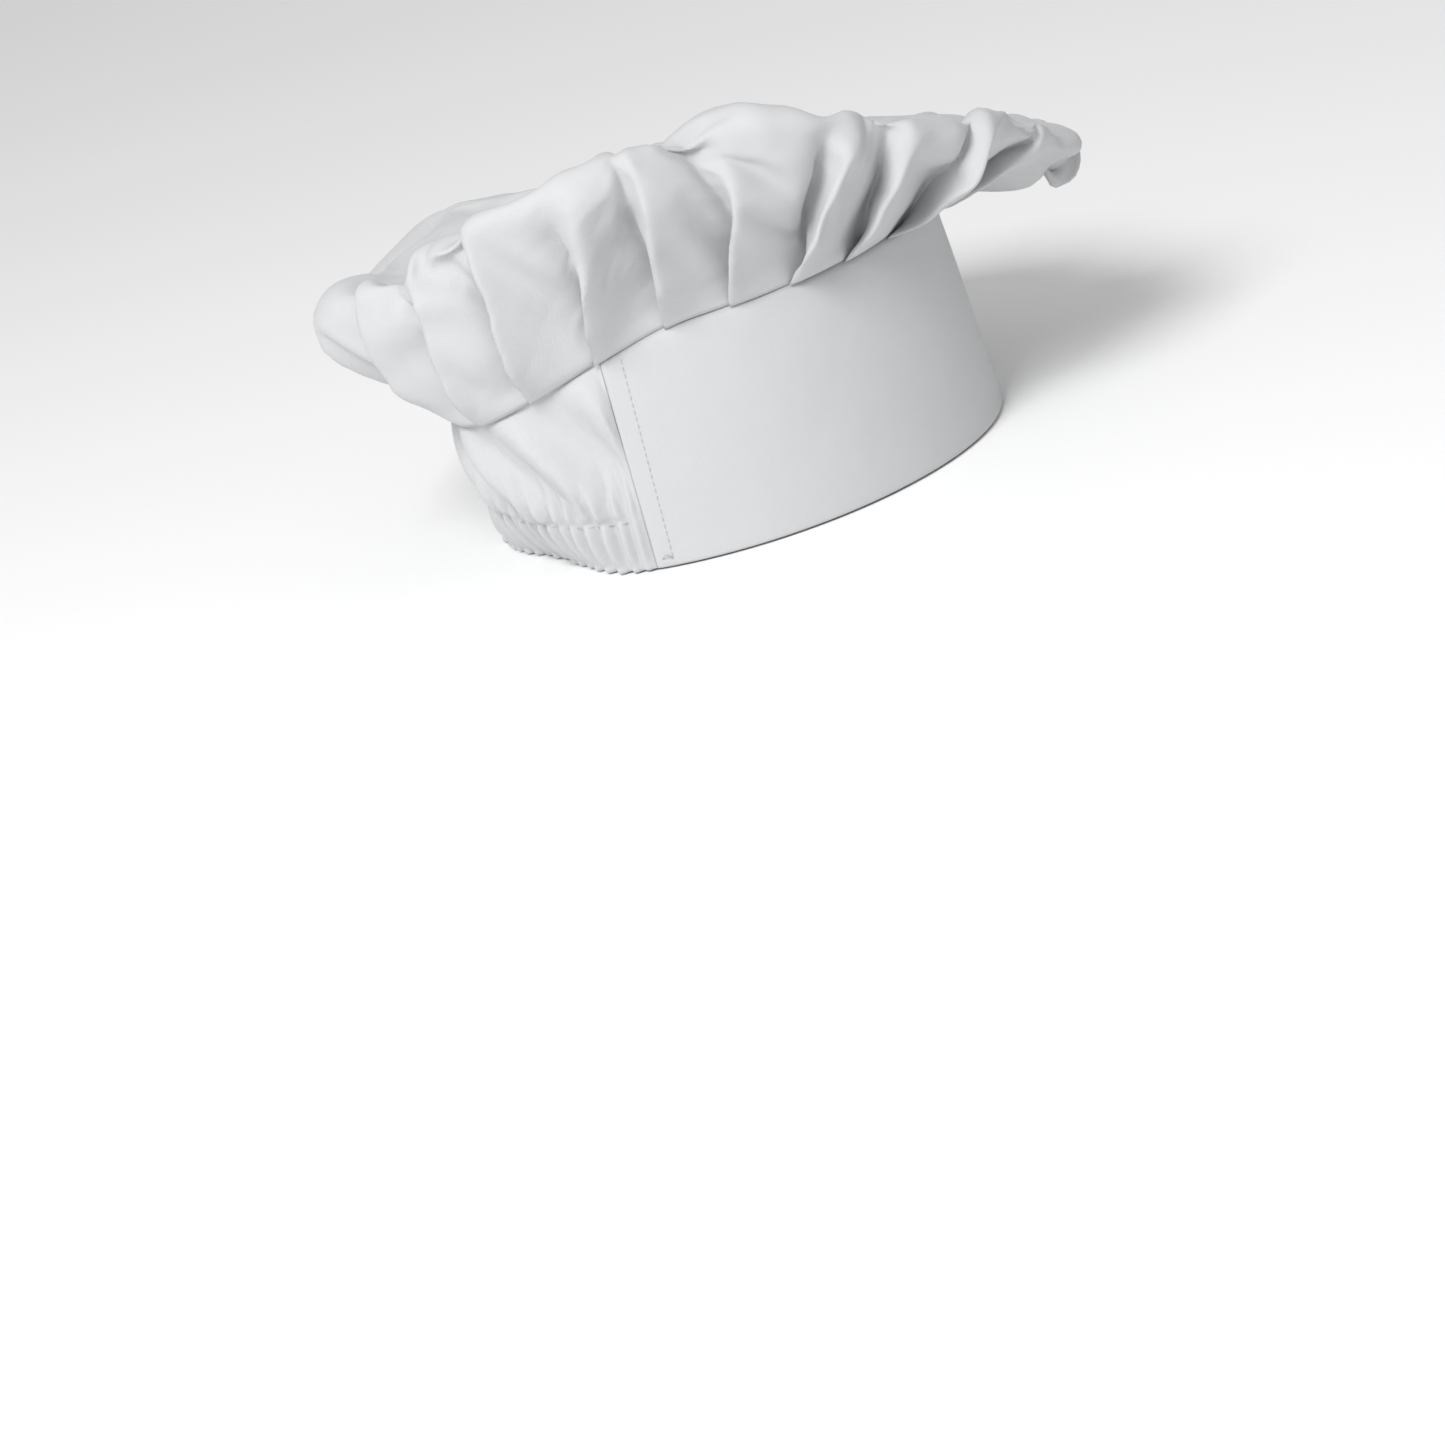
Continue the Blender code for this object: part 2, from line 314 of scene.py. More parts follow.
class ToqueStage(bpy.types.PropertyGroup):
    """Studio and camera."""

    azimuth: turn_setting("Azimuth", "Camera's place round the hat; 0 looks along +Y", 239.548)
    elevation: turn_setting("Elevation", "Camera's height above the level", 17.041)
    roll: turn_setting("Roll", "Camera's tilt to one side", -14.887)
    distance: size("Distance", "Camera to the centre of the head opening", 1.6)
    frame_width: size("Frame width", "Width that the picture takes in at the hat", 0.5352)
    right: size("Right of centre", "How far right of the picture's middle the hat stands", 0.0125)
    up: size("Above centre", "How far above the picture's middle the hat stands", 0.0932)
    room: size("Room", "Radius of the studio floor", 3.0)
    key_power: bpy.props.FloatProperty(name="Key light", description="Power of the main light",
                                       default=38.0, min=0.0, unit="POWER")
    fill_power: bpy.props.FloatProperty(name="Fill light", description="Power of the soft light",
                                        default=3.0, min=0.0, unit="POWER")
    ambience: bpy.props.FloatProperty(name="Ambience", default=0.48, min=0.0,
                                      description="Strength of the light from all round")


GROUPS = {
    "toque_crown": ToqueCrown,
    "toque_band": ToqueBand,
    "toque_back": ToqueBack,
    "toque_stitches": ToqueStitches,
    "toque_finish": ToqueFinish,
    "toque_stage": ToqueStage,
}


# --- Shader sums ------------------------------------------------------------------------

class Number:
    """A shader socket that carries a number and can be used in Python sums."""

    def __init__(self, nodes, socket):
        self.nodes = nodes
        self.socket = socket

    def _sum(self, operation, first, second):
        return self.nodes.add("ShaderNodeMath", {"operation": operation}, {0: first, 1: second})

    def __add__(self, other):
        return self._sum("ADD", self, other)

    __radd__ = __add__

    def __sub__(self, other):
        return self._sum("SUBTRACT", self, other)

    def __rsub__(self, other):
        return self._sum("SUBTRACT", other, self)

    def __mul__(self, other):
        return self._sum("MULTIPLY", self, other)

    __rmul__ = __mul__

    def __truediv__(self, other):
        return self._sum("DIVIDE", self, other)

    def __abs__(self):
        return self._sum("ABSOLUTE", self, 0.0)

    def sine(self):
        return self._sum("SINE", self, 0.0)

    def above(self, limit):
        return self._sum("GREATER_THAN", self, limit)


class Shading:
    """One material's nodes."""

    def __init__(self, name):
        self.material = bpy.data.materials.new(name)
        self.material.use_nodes = True
        self.tree = self.material.node_tree
        self.shader = self.tree.nodes["Principled BSDF"]

    def put(self, socket, value):
        """Set a socket, or link it to another."""
        if isinstance(value, Number):
            self.tree.links.new(value.socket, socket)
        else:
            socket.default_value = value

    def add(self, kind, settings=None, inputs=None, output=0):
        """Add a node, set it up and give its sockets their values or links."""
        node = self.tree.nodes.new(kind)
        for name, value in (settings or {}).items():
            setattr(node, name, value)
        for name, value in (inputs or {}).items():
            self.put(node.inputs[name], value)
        return Number(self, node.outputs[output])

    def finish(self, **inputs):
        """Give the Principled BSDF its values; names have _ for a space."""
        for name, value in inputs.items():
            self.put(self.shader.inputs[name.replace("_", " ")], value)
        return self.material

    def blend(self, share, first, second):
        """Colour between two colours."""
        return self.add("ShaderNodeMix", {"data_type": "RGBA"},
                        {"Factor": share, 6: first, 7: second}, output=2)

    def speckle(self, place, scale, detail=2.0, roughness=0.5):
        """Noise from 0 to 1."""
        return self.add("ShaderNodeTexNoise", {},
                        {"Vector": place, "Scale": scale, "Detail": detail,
                         "Roughness": roughness})

    def stretched(self, place, along, across):
        """Coordinates for a pattern of streaks."""
        return self.add("ShaderNodeMapping", {}, {"Vector": place, "Scale": (along, across, 1)})

    def bump(self, height, strength, distance, under=None):
        inputs = {"Height": height, "Strength": strength, "Distance": distance}
        if under is not None:
            inputs["Normal"] = under
        return self.add("ShaderNodeBump", {}, inputs)


def solid(rgb, factor=1.0):
    return tuple(min(channel * factor, 1.0) for channel in rgb) + (1.0,)


def poplin(name, rgb):
    """Plain-woven cotton: fine threads with slubs, a little fuzz and a soft sheen."""
    nodes = Shading(name)
    flat = nodes.add("ShaderNodeUVMap", {"uv_map": FLAT_MAP})
    place = nodes.add("ShaderNodeTexCoord", {}, {}, output=3)
    warp = nodes.add("ShaderNodeSeparateXYZ", {}, {"Vector": flat}, output=0)
    weft = nodes.add("ShaderNodeSeparateXYZ", {}, {"Vector": flat}, output=1)
    warp_pitch = 0.00045
    weft_pitch = 0.00055
    across = warp * (math.pi / warp_pitch)
    along = weft * (math.pi / weft_pitch)
    over = (across.sine() * along.sine()).above(0.0)
    threads = over * abs(across.sine()) + (1 - over) * abs(along.sine())
    warp_slubs = nodes.speckle(nodes.stretched(flat, 1.0, 0.08), 1500.0)
    weft_slubs = nodes.speckle(nodes.stretched(flat, 0.08, 1.0), 1300.0)
    slubs = warp_slubs * 0.5 + weft_slubs * 0.5
    fuzz = nodes.speckle(flat, 900.0, detail=4.0, roughness=0.65)
    grain = threads * 0.35 + slubs * 0.4 + fuzz * 0.45
    wear = nodes.speckle(place, 16.0, detail=3.0)
    tint = nodes.blend(grain * 0.55 + wear * 0.35, solid(rgb, 0.90), solid(rgb, 1.05))
    creases = nodes.speckle(place, 45.0, detail=3.0, roughness=0.45)
    soft = nodes.bump(creases, 0.25, 0.0025)
    woven = nodes.bump(grain, 0.45, 0.00022, under=soft)
    return nodes.finish(
        Base_Color=tint,
        Roughness=0.78 + fuzz * 0.16,
        Normal=woven,
        Sheen_Weight=0.22,
        Sheen_Roughness=0.45,
        Specular_IOR_Level=0.28,
    )


def interfacing_felt(name, rgb):
    """Stiff non-woven filling: matted fibres, pressed into small dots."""
    nodes = Shading(name)
    flat = nodes.add("ShaderNodeUVMap", {"uv_map": FLAT_MAP})
    fibres = nodes.speckle(nodes.stretched(flat, 1.0, 0.2), 1600.0, detail=5.0, roughness=0.7)
    dots = nodes.add("ShaderNodeTexVoronoi", {}, {"Vector": flat, "Scale": 700.0})
    tint = nodes.blend(fibres, solid(rgb, 0.88), solid(rgb, 1.06))
    return nodes.finish(
        Base_Color=tint,
        Roughness=0.85 + fibres * 0.1,
        Normal=nodes.bump(fibres * 0.6 + dots * 0.4, 0.5, 0.0002),
        Specular_IOR_Level=0.2,
    )


def elastic_rib(name, rgb):
    """Woven elastic: lengthwise ribs crossed by fine picks."""
    nodes = Shading(name)
    flat = nodes.add("ShaderNodeUVMap", {"uv_map": FLAT_MAP})
    along = nodes.add("ShaderNodeSeparateXYZ", {}, {"Vector": flat}, output=0)
    up = nodes.add("ShaderNodeSeparateXYZ", {}, {"Vector": flat}, output=1)
    rib_pitch = 0.0015
    pick_pitch = 0.0006
    ribs = abs((up * (math.pi / rib_pitch)).sine())
    picks = abs((along * (math.pi / pick_pitch)).sine())
    fibres = nodes.speckle(flat, 1800.0, detail=4.0)
    knit = ribs * 0.6 + picks * 0.3 + fibres * 0.2
    return nodes.finish(
        Base_Color=nodes.blend(knit, solid(rgb, 0.8), solid(rgb, 1.08)),
        Roughness=0.62 + fibres * 0.2,
        Normal=nodes.bump(knit, 0.6, 0.0003),
        Sheen_Weight=0.15,
    )


def twisted_thread(name, rgb):
    """Spun thread: a fine slanting twist and a little lint."""
    nodes = Shading(name)
    place = nodes.add("ShaderNodeTexCoord", {}, {}, output=3)
    axes = [nodes.add("ShaderNodeSeparateXYZ", {}, {"Vector": place}, output=axis)
            for axis in range(3)]
    twist_pitch = 0.00035
    slant = (axes[0] + axes[1] + axes[2] * 1.3) * (math.pi / twist_pitch)
    lint = nodes.speckle(place, 2500.0, detail=3.0)
    twist = abs(slant.sine()) * 0.7 + lint * 0.3
    return nodes.finish(
        Base_Color=nodes.blend(twist, solid(rgb, 0.82), solid(rgb, 1.08)),
        Roughness=0.6 + lint * 0.2,
        Normal=nodes.bump(twist, 0.5, 0.0001),
        Sheen_Weight=0.2,
    )


def studio_paper(name, rgb):
    """The floor's seamless paper."""
    nodes = Shading(name)
    place = nodes.add("ShaderNodeTexCoord", {}, {}, output=3)
    mottle = nodes.speckle(place, 3.0, detail=3.0)
    tooth = nodes.speckle(place, 400.0, detail=2.0)
    return nodes.finish(
        Base_Color=nodes.blend(mottle, solid(rgb, 0.99), solid(rgb, 1.01)),
        Roughness=0.9 + tooth * 0.05,
        Normal=nodes.bump(tooth, 0.1, 0.0003),
        Specular_IOR_Level=0.1,
    )


def finish_of(kind, maker, rgb):
    """A material, made the first time that a piece asks for it."""
    return bpy.data.materials.get(kind) or maker(kind, tuple(rgb))


# --- Cloth ------------------------------------------------------------------------------

def add_piece(name, sheet, material, thickness=None):
    """Turn a bmesh into a piece at the origin, if asked with a cloth's thickness."""
    mesh = bpy.data.meshes.new(name)
    sheet.to_mesh(mesh)
    sheet.free()
    mesh.materials.append(material)
    mesh.shade_smooth()
    piece = bpy.data.objects.new(name, mesh)
    bpy.context.scene.collection.objects.link(piece)
    if thickness:
        layer = piece.modifiers.new("thickness", "SOLIDIFY")
        layer.thickness = thickness
        layer.offset = 0
        layer.use_even_offset = True
        layer.use_quality_normals = True
    return piece


def cut_rectangle(columns, rows, on_table):
    """A square grid from 0 to 1 whose flat map says where each point lay when it was cut."""
    sheet = bmesh.new()
    bmesh.ops.create_grid(sheet, x_segments=columns, y_segments=rows, size=0.5)
    bmesh.ops.translate(sheet, verts=sheet.verts, vec=Vector((0.5, 0.5, 0)))
    record_flat(sheet, lambda spot: on_table(spot.x, spot.y))
    return sheet


def record_flat(sheet, flat_place):
    """Write each corner's place on the cutting table to the flat map."""
    uv = sheet.loops.layers.uv.new(FLAT_MAP)
    for face in sheet.faces:
        for loop in face.loops:
            loop[uv].uv = flat_place(loop.vert.co).xy


def lay(sheet, place):
    """Move each point of a cut sheet to where it is sewn."""
    for vertex in sheet.verts:
        vertex.co = place(vertex.co.x, vertex.co.y)
    bmesh.ops.recalc_face_normals(sheet, faces=sheet.faces)


def collider(name, sheet, grip):
    """A body that settling cloth rests on; its distances are at the settling scale."""
    bmesh.ops.scale(sheet, vec=Vector((SETTLING_SCALE,) * 3), verts=sheet.verts)
    bmesh.ops.recalc_face_normals(sheet, faces=sheet.faces)
    body = add_piece(name, sheet, None)
    body.modifiers.new("collision", "COLLISION")
    body.collision.thickness_outer = 0.008
    body.collision.thickness_inner = 0.2
    body.collision.cloth_friction = grip
    body.collision.damping = 0.5
    return body


def settle(piece, flat, held, steps, bending):
    """Let a sewn cloth fall for a number of steps, then keep the shape that it took.

    flat gives each point's place on the cutting table, and held how firmly it is held.
    """
    scene = bpy.context.scene
    mesh = piece.data
    for vertex in mesh.vertices:
        vertex.co *= SETTLING_SCALE
    piece.shape_key_add(name="sewn")
    unsewn = piece.shape_key_add(name="flat")
    for knot, spot in zip(unsewn.data, flat):
        knot.co = spot * SETTLING_SCALE
    unsewn.value = 0.0
    group = piece.vertex_groups.new(name="held")
    for index, weight in enumerate(held):
        if weight > 0:
            group.add([index], weight, "REPLACE")
    cloth = piece.modifiers.new("cloth", "CLOTH")
    rules = cloth.settings
    rules.quality = 6
    rules.mass = POPLIN_MASS
    rules.air_damping = 2.0
    rules.tension_stiffness = POPLIN_TENSION
    rules.compression_stiffness = POPLIN_TENSION
    rules.shear_stiffness = POPLIN_TENSION / 2
    rules.bending_stiffness = bending
    rules.bending_damping = 0.5
    rules.bending_model = "ANGULAR"
    rules.vertex_group_mass = group.name
    rules.pin_stiffness = 50.0
    rules.rest_shape_key = unsewn
    contact = cloth.collision_settings
    contact.distance_min = 0.008
    contact.collision_quality = 3
    contact.use_self_collision = True
    contact.self_distance_min = 0.006
    contact.self_friction = 5
    scene.gravity = HEAD_LEANS_BACK
    scene.frame_start = 1
    scene.frame_end = steps
    cloth.point_cache.frame_start = 1
    cloth.point_cache.frame_end = steps + 1
    for step in range(1, steps + 1):
        scene.frame_set(step)
    depsgraph = bpy.context.evaluated_depsgraph_get()
    settled = piece.evaluated_get(depsgraph).data
    spots = [vertex.co / SETTLING_SCALE for vertex in settled.vertices]
    piece.modifiers.remove(cloth)
    piece.shape_key_clear()
    piece.vertex_groups.clear()
    for vertex, spot in zip(mesh.vertices, spots):
        vertex.co = spot
    mesh.update()
    scene.frame_set(1)


def finish_cloth(piece, thickness):
    """Round a settled cloth and give it its thickness."""
    finer = piece.modifiers.new("finer", "SUBSURF")
    finer.levels = 1
    finer.render_levels = 1
    layer = piece.modifiers.new("thickness", "SOLIDIFY")
    layer.thickness = thickness
    layer.offset = 0


def flat_places(sheet):
    """Each vertex's place on the cutting table, in the order of the vertices."""
    uv = sheet.loops.layers.uv[FLAT_MAP]
    return [Vector((*vertex.link_loops[0][uv].uv, 0)) for vertex in sheet.verts]


# --- Crown --------------------------------------------------------------------------------

def disc_place(spot):
    """Move a point of the square from -1 to 1 as far out in a disc of radius 1."""
    out = max(abs(spot.x), abs(spot.y))
    if out == 0:
        return Vector((0, 0, 0))
    if abs(spot.x) >= abs(spot.y):
        angle = math.pi / 4 * spot.y / spot.x + (0 if spot.x > 0 else math.pi)
    else:
        angle = math.pi / 2 - math.pi / 4 * spot.x / spot.y + (0 if spot.y > 0 else math.pi)
    return Vector((out * math.cos(angle), out * math.sin(angle), 0))


class Pinch:
    """A peak or a dent that the cloth was pulled into: its place, reach and pull."""

    def __init__(self, place, reach, pull):
        self.place = Vector(place)
        self.reach = reach
        self.pull = Vector(pull)

    def pulled(self, spot):
        near = max(1 - (spot - self.place).length / self.reach, 0.0)
        return spot + self.pull * near ** 1.5


class CrownShape:
    """How the crown stands before it settles."""

    BED = 0.0009            # half the thickness of a pleat that is pressed flat at the seam
    UNDER_FULLNESS = 0.018  # how full the overhang hangs under the widest ring
    OVER_FULLNESS = 0.012   # and how full it rises over it
    TILTED_FULLNESS = 0.008     # the same where the crown is worn up
    STANDING = 0.022        # distance from the seam in which a pleat rises to its height
    RIDGE = 0.035           # distance from the seam at which it begins to fall
    FALLING = 0.055         # and how far it takes to lie flat
    HELD_CREST = 0.55       # a fold's height, as a share, above which starch holds it
    HANGING_STARCH = 0.55   # share of the starch that counts where the crown hangs
    LEVEL_PLEATS = 0.45     # height of the pleats where the crown hangs, as a share
    CREASE_SLANT = 1.2      # how far creases run round the crown for each metre outwards
    CREASES_ROUND = 14.0    # creases in a metre round the crown
    CREASES_ALONG = 8.0     # and in a metre outwards
    TWIST = 0.12            # radians that the cloth is turned forwards between seam and ring
    FAN = 0.13              # radians that the pleats spread from a middle one
    FAN_TURN = math.radians(50)
    WANDER = 0.22           # radians that uneven pleats stray
    PINCHES = (
        Pinch(place=(-0.0857, -0.0813, 0.104), reach=0.045, pull=(-0.006, -0.006, 0.017)),
        Pinch(place=(-0.0659, -0.1191, 0.084), reach=0.050, pull=(-0.004, -0.009, 0.003)),
        Pinch(place=(0.0525, 0.1273, 0.092), reach=0.040, pull=(0.006, 0.012, -0.002)),
    )
    CORE_DROP = 0.023       # a point this far under the top is inside the crown
    STATIONS = 24           # steps along each half of a meridian
    TABLE_TURNS = 360       # meridians that are worked out; those between are mixed

    def __init__(self, crown):
        self.crown = crown
        self.meridians = [self.meridian(FULL_TURN * step / self.TABLE_TURNS)
                          for step in range(self.TABLE_TURNS)]

    def seam(self, turn):
        """Where the crown is sewn: between the wall's layers, just under its top edge."""
        seam = WALL.seam(turn)
        return WALL.point(turn, seam.z, inward=0.0006) + DOWN * 0.0004

    def tilted(self, turn):
        """1 where the crown is worn highest, 0 where it hangs."""
        crown = self.crown
        away = nearest_turn(turn - crown.tilt_turn)
        return hump(away, crown.front_reach if away > 0 else crown.rear_reach)

    def meridian(self, turn):
        """Points from the seam, out to the widest ring and over to the middle, evenly spaced."""
        crown = self.crown
        seam = self.seam(turn)
        tilted = self.tilted(turn)
        out = 1 - crown.draw_in * tilted
        edge = Vector((-crown.half_width * out * math.sin(turn),
                       crown.half_length * out * math.cos(turn),
                       crown.edge_height + crown.tilt * tilted))
        top = Vector((0, 0, crown.top))
        leave = seam.lerp(edge, 0.45)
        leave.z = mix(seam.z, leave.z, tilted)
        hanging = edge + DOWN * self.UNDER_FULLNESS
        arrive = hanging.lerp(edge.lerp(seam, 0.3), 0.75 * tilted)
        depart = edge + UP * mix(self.OVER_FULLNESS, self.TILTED_FULLNESS, tilted)
        shoulder = edge.lerp(top, 0.4)
        shoulder.z = mix(top.z, edge.z + 0.004, tilted)
        line = interpolate_bezier(seam, leave, arrive, edge, self.STATIONS)
        line += interpolate_bezier(edge, depart, shoulder, top, self.STATIONS)[1:]
        lengths = [0.0]
        for before, after in zip(line, line[1:]):
            lengths.append(lengths[-1] + (after - before).length)
        return line, lengths

    def along(self, line, lengths, share):
        """The point a share of the way along a meridian."""
        wanted = min(max(share, 0.0), 1.0) * lengths[-1]
        index = next((i for i, length in enumerate(lengths) if length > wanted), None)
        if index is None:
            return line[-1].copy()
        part = (wanted - lengths[index - 1]) / (lengths[index] - lengths[index - 1])
        return line[index - 1].lerp(line[index], part)

    def point(self, turn, share):
        """Point of the smooth crown, a share of the way from the seam to the middle."""
        place = (turn % FULL_TURN) / FULL_TURN * self.TABLE_TURNS
        index = int(place) % self.TABLE_TURNS
        following = (index + 1) % self.TABLE_TURNS
        before = self.along(*self.meridians[index], share)
        return before.lerp(self.along(*self.meridians[following], share), place - int(place))

    def outward(self, turn, share):
        """Direction out of the smooth crown."""
        here = self.point(turn, share)
        up = self.point(turn, share + 0.01) - here
        round_ = self.point(turn + 0.02, share) - here
        normal = up.cross(round_)
        if normal.length < 1e-12:
            return UP
        normal.normalize()
        middle = UP * (self.crown.top - self.CORE_DROP)
        return normal if normal.dot(here - middle) > 0 else -normal

    def pleated(self, flat):
        """Where a point of the flat circle stands once the pleats are folded at the seam."""
        crown = self.crown
        out = flat.length
        to_edge = max(crown.radius - out, 0.0)
        pitch = FULL_TURN / crown.pleats
        angle = math.atan2(-flat.x, flat.y)
        place = ((angle - crown.first_pleat) % FULL_TURN) / pitch
        number = math.floor(place + 1e-9)
        part = place - number
        start = crown.first_pleat + number * pitch
        cut = FULL_TURN * crown.radius / crown.pleats
        sewn = (WALL.seam(start + pitch) - WALL.seam(start)).length
        rising = (cut + sewn) / 2
        walked = part * cut
        if walked < rising:
            folded = walked / sewn
            level = 1 - 2 * walked / rising
        else:
            folded = (2 * rising - walked) / sewn
            level = 2 * (walked - rising) / (cut - rising) - 1
        opened = ease(to_edge / crown.pleat_length)
        turn = start + mix(folded, part, opened) * pitch
        wandering = noise.noise(Vector((3 * math.cos(turn), 3 * math.sin(turn), 5.0)))
        differing = noise.noise(Vector((4 * math.cos(turn), 4 * math.sin(turn), 9.0)))
        turned = self.TWIST + self.FAN * math.sin(angle - self.FAN_TURN)
        turn += (turned + self.WANDER * crown.unevenness * wandering) * ease(to_edge / 0.08)
        share = to_edge / crown.radius
        standing = ease(to_edge / self.STANDING)
        standing *= hump(max(to_edge - self.RIDGE, 0.0), self.FALLING)
        tall = mix(self.LEVEL_PLEATS, 1, self.tilted(turn)) * (1 + crown.unevenness * differing)
        depth = self.BED + crown.pleat_depth * standing * tall
        lift = level * depth + self.crumpled(turn, to_edge) * ease(to_edge / 0.04)
        spot = self.point(turn, share) + self.outward(turn, share) * lift
        for pinch in self.PINCHES:
            spot = pinch.pulled(spot)
        return spot, level * standing

    def crumpled(self, turn, to_edge):
        """Height of the sharp creases that run slantwise across the pleats."""
        slant = self.crown.radius * turn + self.CREASE_SLANT * to_edge
        place = Vector((slant * self.CREASES_ROUND, to_edge * self.CREASES_ALONG, 2.0))
        height = 0.0
        for octave in range(2):
            ridge = 1 - 2 * abs(noise.noise(place * 2 ** octave))
            height += (ridge - 0.5) / 2 ** octave
        return self.crown.crease_depth * height

    def firmness(self, flat, crest):
        """How firmly a point is held while the cloth settles; crest is 1 on a pleat's fold."""
        crown = self.crown
        if flat.length > crown.radius * 0.9999:
            return 1.0
        tilted = self.tilted(math.atan2(-flat.x, flat.y))
        kept = max(crest - self.HELD_CREST, 0.0) / (1 - self.HELD_CREST)
        return crown.starch * kept * mix(self.HANGING_STARCH, 1, tilted)


class TOQUE_OT_crown(bpy.types.Operator):
    """Pleat a circle of poplin to the seam and let it settle"""

    bl_idname = "toque.crown"
    bl_label = "Crown"

    BENDING = 1.0           # how stiff the cloth is as it settles
    HEAD_RADII = Vector((0.068, 0.082, 0.053))
    HEAD_MIDDLE = 0.055     # height of the middle of the head's crown

    def execute(self, context):
        crown = context.scene.toque_crown
        cotton = finish_of("cotton_poplin", poplin, context.scene.toque_finish.cotton)
        sheet = bmesh.new()
        bmesh.ops.create_grid(sheet, x_segments=crown.weave_steps, y_segments=crown.weave_steps,
                              size=1.0)
        for vertex in sheet.verts:
            vertex.co = disc_place(vertex.co) * crown.radius
        record_flat(sheet, lambda spot: spot)
        flat = [vertex.co.copy() for vertex in sheet.verts]
        shape = CrownShape(crown)
        held = []
        for vertex in sheet.verts:
            spot, crest = shape.pleated(vertex.co)
            held.append(shape.firmness(vertex.co, crest))
            vertex.co = spot
        piece = add_piece("crown_cloth", sheet, cotton)
        head = self.head()
        drum = self.drum()
        settle(piece, flat, held, crown.settle_steps, self.BENDING)
        for body in (head, drum):
            bpy.data.objects.remove(body)
        finish_cloth(piece, crown.cloth)
        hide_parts("crown")
        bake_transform(piece)
        return {"FINISHED"}

    def head(self):
        """Crown of the head, which holds the cloth up in the middle."""
        sheet = bmesh.new()
        bmesh.ops.create_uvsphere(sheet, u_segments=32, v_segments=20, radius=1.0)
        bmesh.ops.scale(sheet, vec=self.HEAD_RADII, verts=sheet.verts)
        bmesh.ops.translate(sheet, vec=UP * self.HEAD_MIDDLE, verts=sheet.verts)
        return collider("head", sheet, grip=5.0)

    def drum(self):
        """The closed wall, which the crown's overhang rests against."""
        sheet = bmesh.new()
        bmesh.ops.create_cone(sheet, cap_ends=True, segments=72, radius1=1, radius2=1,
                              depth=1.0)
        upright = [edge for edge in sheet.edges
                   if abs(edge.verts[0].co.z - edge.verts[1].co.z) > 0.5]
        bmesh.ops.subdivide_edges(sheet, edges=upright, cuts=4)
        for vertex in sheet.verts:
            turn = math.atan2(-vertex.co.x, vertex.co.y)
            share = (vertex.co.z + 0.5) * 0.96
            vertex.co = WALL.point(turn, WALL.seam(turn).z * share, inward=0.0005)
        return collider("drum", sheet, grip=5.0)


# --- Band ---------------------------------------------------------------------------------

class FoldedSection:
    """Upright section of a band folded at the rim: down the outside, round, up the lining."""

    FOLD_ROWS = 0.2         # share of the rows that go round the fold

    def __init__(self, thickness, cloth):
        self.middle = thickness / 2
        self.radius = (thickness - cloth) / 2
        self.fold_length = math.pi * self.radius

    def walked(self, share, top):
        """Length walked along the section at a share of its rows."""
        side = top - self.radius
        before = (1 - self.FOLD_ROWS) / 2
        if share < before:
            return side * share / before
        if share > 1 - before:
            return side + self.fold_length + side * (share - 1 + before) / before
        return side + self.fold_length * (share - before) / self.FOLD_ROWS

    def place(self, share, top):
        """Height and distance from the section's middle, outwards, at a share of its rows."""
        side = top - self.radius
        walked = self.walked(share, top)
        if walked < side or walked > side + self.fold_length:
            outer = walked < side
            height = top - walked if outer else walked - self.fold_length - side + self.radius
            edge = min((top - height) / self.radius, 1.0)
            out = self.radius * math.sqrt(max(1 - (1 - edge) ** 2, 0.0))
            return height, out if outer else -out
        angle = (walked - side) / self.radius
        return self.radius * (1 - math.sin(angle)), self.radius * math.cos(angle)


def closed_end(distance, radius):
    """Share of its thickness that a folded piece keeps near its turned-in end."""
    near = 1 - min(distance / radius, 1.0)
    return math.sqrt(max(1 - near * near, 0.0))


